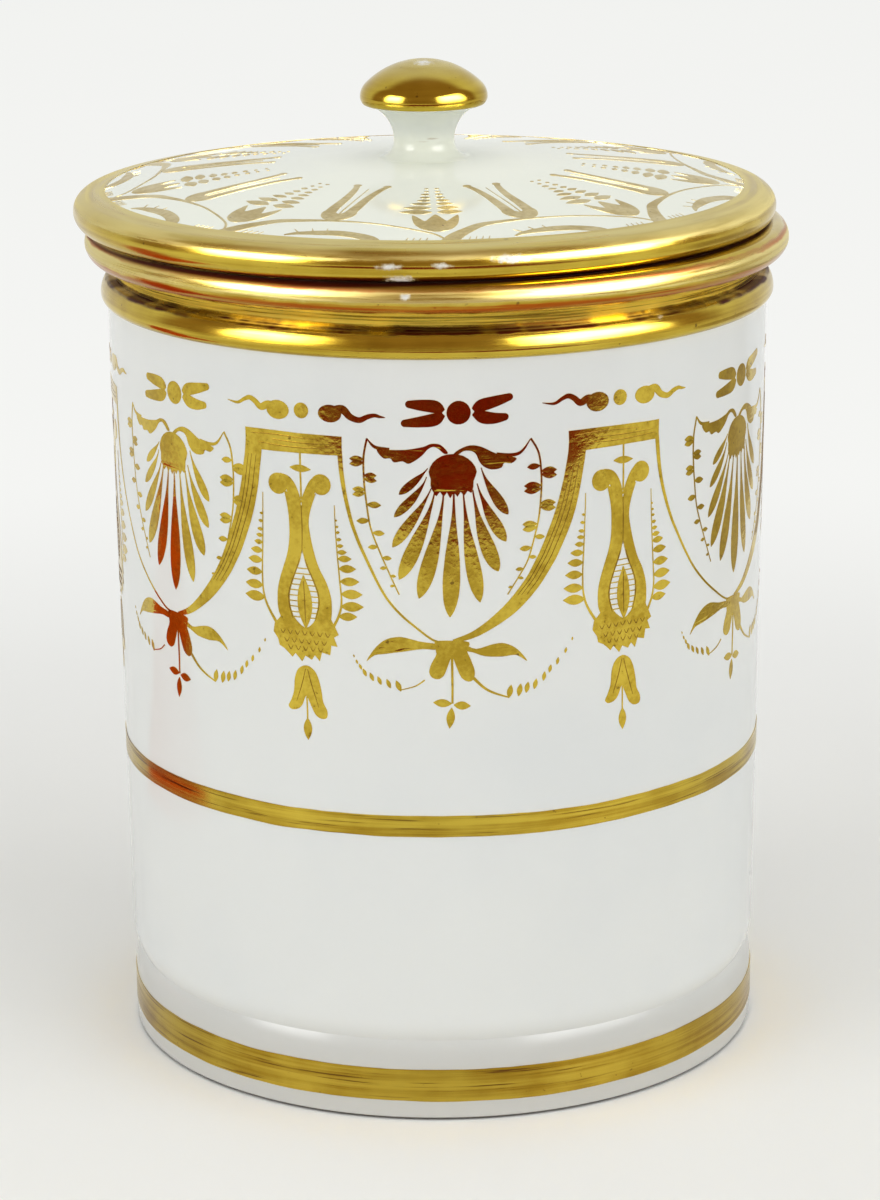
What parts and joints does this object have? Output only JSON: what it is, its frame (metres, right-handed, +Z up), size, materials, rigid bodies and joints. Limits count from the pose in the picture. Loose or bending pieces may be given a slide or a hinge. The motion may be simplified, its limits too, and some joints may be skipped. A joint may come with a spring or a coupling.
{
  "type": "ointment pot",
  "caption": "Covered cylindrical porcelain pot for ointment, with moulded collar, gilded bands and a loose domed lid lifted by a mushroom knob.",
  "frame": {"origin": "centre of the foot ring on the table, on the pot's axis", "axes": "+Z up along the pot's axis, the front of the ornament faces -Y, +X to the right"},
  "size_m": [0.1045, 0.103, 0.1457],
  "materials": {
    "porcelain": "glossy clear glaze over white hard-paste porcelain",
    "gilding": "burnished fired gold, brushed and a little worn"
  },
  "bodies": {
    "pot": {"jar_body": "porcelain", "collar_gilding": "gilding", "waist_band_gilding": "gilding", "foot_band_gilding": "gilding"},
    "lid": {"lid": "porcelain", "lid_border_gilding": "gilding", "knob": "porcelain", "knob_gilding": "gilding"}
  },
  "joints": [
    {"name": "lid_lift", "type": "slide", "parent": "pot", "child": "lid", "axis": [0, 0, 1], "range_m": [0, 0.08]}
  ]
}
